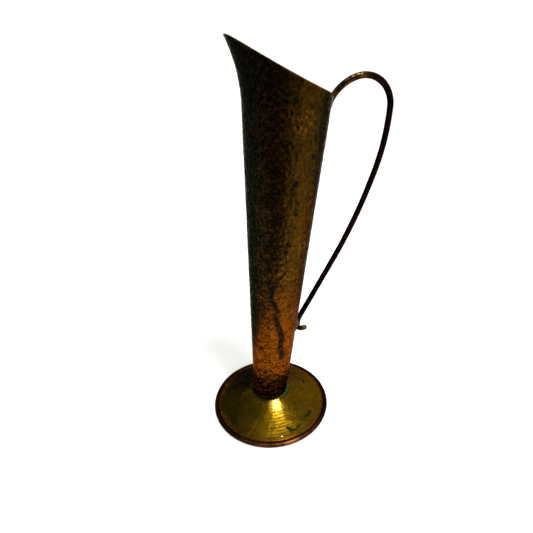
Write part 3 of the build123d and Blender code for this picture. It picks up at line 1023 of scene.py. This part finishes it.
class VASE_OT_handle(bpy.types.Operator):
    """Bends the handle from one round wire"""

    bl_idname = "vase.handle"
    bl_label = "Wire handle"

    def execute(self, context):
        sizes, colours = context.scene.vase_sizes, context.scene.vase_colours
        clear_bench()
        heading = HANDLE_HEADING.normalized()
        turn = math.atan2(heading.x, heading.z)
        here = HANDLE_START.copy()
        bpy.ops.mesh.primitive_circle_add(vertices=26, radius=sizes.wire_radius, fill_type="NGON",
                                          location=here * MM, rotation=(0, turn, 0))
        wire = named("wire_handle")
        bpy.ops.object.transform_apply(location=True, rotation=True)
        edit_all()

        def run(length, count):
            nonlocal here
            for _ in range(count):
                bpy.ops.mesh.extrude_region_move(
                    TRANSFORM_OT_translate={"value": heading * (length / count * MM)})
            here = here + heading * length

        def bend(radius, degrees):
            nonlocal here, heading
            towards = Vector((heading.z, 0, -heading.x)) * math.copysign(1, degrees)
            centre = here + towards * radius
            count = max(6, round(abs(math.radians(degrees)) * radius / 1.1))
            bpy.ops.mesh.spin(steps=count, angle=-math.radians(degrees), center=centre * MM, axis=(0, 1, 0))
            turned_by = Matrix.Rotation(math.radians(degrees), 3, "Y")
            here = centre + turned_by @ (here - centre)
            heading = turned_by @ heading

        for radius, degrees in HANDLE_BENDS:
            bend(radius, degrees)
        run(HANDLE_RUN, 44)
        bend(*SEAT_BEND)
        run(SEAT_RUN, 4)
        bend(*KICK_BEND)
        run(KICK_RUN, 2)
        core = sizes.wire_radius / MM - WIRE_END
        share = 1.0
        for step in range(1, 6):
            angle = math.radians(90 * step / 5)
            run(WIRE_END * (math.sin(angle) - math.sin(angle - math.radians(18))), 1)
            new_share = (core + WIRE_END * math.cos(angle)) / (core + WIRE_END)
            bpy.ops.transform.resize(value=(new_share / share,) * 3, center_override=here * MM)
            share = new_share
        bpy.ops.mesh.select_all(action="SELECT")
        bpy.ops.mesh.remove_doubles(threshold=0.00001)
        bpy.ops.mesh.normals_make_consistent(inside=False)
        bpy.ops.object.mode_set(mode="OBJECT")
        spots = places(wire)
        uneven = grains(spots, (5.0, 0.07, 1.9), (1.8, 0.03, 4.4)) - 0.06
        push(wire, "NORMAL", uneven)
        # only the first few millimetres stand in the wall, so the cut leaves the rest of the wire alone
        trim_at_wall(wire, 208.0)
        lean_with_tube(wire)
        finish_piece(wire, bronzed_wire(colours), "bronzed_wire", "handle_wire")
        return {"FINISHED"}


def solder_drop(name, middle, half_sizes, lobes, seed):
    """A lump of solder run together from a drop and smaller lobes, each a shift and a size."""
    clear_bench()
    drops = []
    for shift, scale in [((0, 0, 0), (1, 1, 1))] + list(lobes):
        centre = [middle[axis] + shift[axis] * half_sizes[axis] for axis in range(3)]
        bpy.ops.mesh.primitive_ico_sphere_add(subdivisions=4, radius=MM, location=[c * MM for c in centre])
        bpy.context.object.scale = [half_sizes[axis] * scale[axis] for axis in range(3)]
        bpy.ops.object.transform_apply(location=True, scale=True)
        drops.append(bpy.context.object)
    clear_bench()
    for drop in drops:
        drop.select_set(True)
    bpy.context.view_layer.objects.active = drops[0]
    bpy.ops.object.join()
    lump = named(name)
    apply_modifier(lump, "REMESH", mode="VOXEL", voxel_size=0.26 * MM)
    apply_modifier(lump, "SMOOTH", factor=0.5, iterations=7)
    spots = places(lump)
    rough = grains(spots, (2.1, 0.28, seed), (0.8, 0.12, seed + 3)) - 0.05
    push(lump, "NORMAL", rough)
    trim_at_wall(lump, middle[2])
    # the cut face is rough, so the lump is closed once more
    apply_modifier(lump, "REMESH", mode="VOXEL", voxel_size=0.2 * MM)
    return lump


class VASE_OT_handle_solder(bpy.types.Operator):
    """Builds the solder at the handle's two joints"""

    bl_idname = "vase.handle_solder"
    bl_label = "Handle solder"

    def execute(self, context):
        colours = context.scene.vase_colours
        metal = tin_solder(colours)
        upper = solder_drop(
            "upper_joint_solder", (25.7, 0.0, 210.2), (2.1, 3.0, 4.4),
            [((-0.3, -0.9, -0.45), (0.5, 0.6, 0.55)), ((-0.3, 0.95, -0.1), (0.5, 0.55, 0.6)),
             ((-0.25, 0.5, -0.95), (0.5, 0.6, 0.45)), ((0.1, -0.4, 0.55), (0.8, 0.6, 0.4))], 12.5)
        lower = solder_drop(
            "lower_joint_solder", (16.9, 0.0, 59.8), (2.2, 2.9, 4.6),
            [((-0.1, -0.85, 0.5), (0.5, 0.55, 0.5)), ((-0.1, 0.8, -0.4), (0.5, 0.6, 0.6)),
             ((-0.2, -0.6, -0.95), (0.5, 0.5, 0.45)), ((0.0, 0.35, 1.0), (0.55, 0.6, 0.4))], 17.5)
        for lump, node in ((upper, "upper_handle_solder"), (lower, "lower_handle_solder")):
            lean_with_tube(lump)
            finish_piece(lump, metal, "tin_solder", node)
        return {"FINISHED"}


class VASE_OT_base_solder(bpy.types.Operator):
    """Builds the crusted solder fillet round the tube's base"""

    bl_idname = "vase.base_solder"
    bl_label = "Base solder"

    def execute(self, context):
        colours = context.scene.vase_colours
        count = 12
        rows = [(12.7, -0.9), (12.7, 1.7)]
        for i in range(count + 1):
            share = i / count
            rows.append((FILLET_INNER + FILLET_SPREAD * share ** 1.4,
                         FILLET_CLIMB * (1 - share) ** 1.4 - 1.55 * share))
        rows.append((15.6, -1.9))
        fillet = turned("base_solder_fillet", 220, rows, "joined")

        def settled(x, y, z):
            turn = math.atan2(y, x)
            radius = math.hypot(x, y)
            crescent = math.exp(-((math.remainder(turn + math.radians(24), TURN) / 0.75) ** 2))
            back = math.exp(-((math.remainder(turn - math.radians(120), TURN) / 0.9) ** 2))
            lumps = 0.16 * grain((math.cos(turn) * 13, math.sin(turn) * 13, 0), 2.4, 9.1)
            width = min(0.24 + 0.7 * crescent + 0.25 * back + lumps, 1.0)
            new_radius = radius if radius < FILLET_INNER else FILLET_INNER + (radius - FILLET_INNER) * width
            lift = z if z < 0 else z * (0.35 + 0.65 * width)
            # the toe lies on the foot, which is level while the tube leans
            x_new, y_new = new_radius * math.cos(turn), new_radius * math.sin(turn)
            ground = (foot_height(new_radius) - 0.18 - SEAT_LEVEL + x_new * math.sin(LEAN)) / math.cos(LEAN)
            share = min(max((FILLET_CLIMB - z) / 3.4, 0.0), 1.0)
            top = max(lift, ground + 0.1)
            height = top * (1 - share) + ground * share
            return x_new, y_new, height

        reshape(fillet, settled)
        spots = places(fillet)
        distance = np.hypot(spots[:, 0], spots[:, 1])
        crust = grains(spots, (1.3, 0.2, 21.0), (0.6, 0.1, 25.0))
        push(fillet, "NORMAL", np.where(distance > 13.1, crust, 0.0))
        lean_with_tube(fillet)
        finish_piece(fillet, verdigris_solder(colours), "verdigris_solder", "base_solder", angle=80)
        return {"FINISHED"}


class VASE_OT_studio(bpy.types.Operator):
    """Builds the pale backdrop, the soft lights and the camera"""

    bl_idname = "vase.studio"
    bl_label = "Studio"

    def execute(self, context):
        scene = context.scene
        colours = scene.vase_colours
        rows = [WALL_TOP, (FLOOR_REACH + SWEEP, SWEEP)]
        for i in range(1, 19):
            angle = math.radians(90 * i / 18)
            rows.append((FLOOR_REACH + SWEEP * math.cos(angle), SWEEP - SWEEP * math.sin(angle)))
        rows += [(radius, 0.0) for radius in (1200, 800, 500, 300, 150, 60)]
        backdrop = turned("backdrop", 96, rows, "capped")
        take(backdrop)
        edit_all()
        bpy.ops.mesh.flip_normals()
        bpy.ops.object.mode_set(mode="OBJECT")
        bpy.ops.object.shade_smooth()
        backdrop.data.materials.append(studio_paper(colours))
        clear_bench()
        bpy.ops.mesh.primitive_circle_add(
            vertices=64, radius=0.74, fill_type="NGON", location=(-0.62, -0.62, 0.002))
        card = named("black_card")
        card.data.materials.append(black_card())
        # it darkens what the metal mirrors, and is seen in nothing else
        card.visible_camera = card.visible_diffuse = card.visible_shadow = card.visible_transmission = False
        lights = (
            # name, place, aim, width, height, watts, colour
            ("overhead_lamp", (0.19, -0.31, 1.15), (0.0, 0.0, 0.01), 0.2, 0.17, 11.0, (1.0, 0.98, 0.95)),
            ("overhead_strip", (0.16, -0.02, 1.2), (0.0, 0.0, 0.01), 0.12, 0.42, 0.8, (1.0, 0.98, 0.95)),
            ("backdrop_wash", (0.0, 0.6, 1.7), (0.0, 2.6, 0.75), 2.6, 0.8, 26.0, (1.0, 1.0, 1.0)),
            ("right_softbox", (1.15, -0.55, 0.75), (0.0, 0.0, 0.12), 0.8, 0.9, 4.6, (1.0, 0.96, 0.9)),
            ("back_left_softbox", (-1.0, 0.95, 0.5), (0.0, 0.0, 0.1), 0.7, 0.9, 0.5, (0.95, 0.98, 1.0)),
        )
        for name, place, aim, width, height, watts, colour in lights:
            clear_bench()
            bpy.ops.object.light_add(type="AREA", location=place)
            light = bpy.context.object
            light.name = name
            light.rotation_euler = (Vector(aim) - Vector(place)).to_track_quat("-Z", "Y").to_euler()
            light.data.shape = "RECTANGLE"
            light.data.size, light.data.size_y = width, height
            light.data.energy = watts
            light.data.color = colour
            light.visible_camera = False
            light.visible_glossy = name != "backdrop_wash"
        world = bpy.data.worlds.new("studio_air")
        scene.world = world
        world.use_nodes = True
        air = world.node_tree.nodes["Background"]
        air.inputs["Color"].default_value = (*colours.backdrop, 1.0)
        air.inputs["Strength"].default_value = 0.93
        bpy.ops.object.camera_add(location=CAMERA_PLACE)
        camera = bpy.context.object
        camera.name = "camera"
        camera.rotation_euler = Matrix((CAMERA_RIGHT, CAMERA_UP, CAMERA_BACK)).transposed().to_euler()
        camera.data.sensor_width = 36.0
        camera.data.lens = CAMERA_LENS
        camera.data.clip_start = 0.01
        scene.camera = camera
        scene.view_settings.view_transform = "Standard"
        return {"FINISHED"}


class VASE_PT_workshop(bpy.types.Panel):
    """Lists the vase's pieces in the sidebar"""

    bl_label = "Bud Vase"
    bl_idname = "VASE_PT_workshop"
    bl_space_type = "VIEW_3D"
    bl_region_type = "UI"
    bl_category = "Bud Vase"

    def draw(self, context):
        layout = self.layout
        for group in (context.scene.vase_sizes, context.scene.vase_colours):
            for name in group.__annotations__:
                layout.prop(group, name)
        for operator in STEPS:
            layout.operator(operator.bl_idname)


STEPS = (
    VASE_OT_studio,
    VASE_OT_hammered_tube,
    VASE_OT_seam,
    VASE_OT_floor_disc,
    VASE_OT_spun_foot,
    VASE_OT_rim_ring,
    VASE_OT_handle,
    VASE_OT_handle_solder,
    VASE_OT_base_solder,
)
CLASSES = (VaseSizes, VaseColours, *STEPS, VASE_PT_workshop)


def register():
    for cls in CLASSES:
        bpy.utils.register_class(cls)
    bpy.types.Scene.vase_sizes = PointerProperty(type=VaseSizes)
    bpy.types.Scene.vase_colours = PointerProperty(type=VaseColours)


def unregister():
    del bpy.types.Scene.vase_colours
    del bpy.types.Scene.vase_sizes
    for cls in reversed(CLASSES):
        bpy.utils.unregister_class(cls)


def main():
    register()
    bpy.ops.vase.studio()
    bpy.ops.vase.hammered_tube()
    bpy.ops.vase.seam()
    bpy.ops.vase.floor_disc()
    bpy.ops.vase.spun_foot()
    bpy.ops.vase.rim_ring()
    bpy.ops.vase.handle()
    bpy.ops.vase.handle_solder()
    bpy.ops.vase.base_solder()


if __name__ == "__main__":
    main()
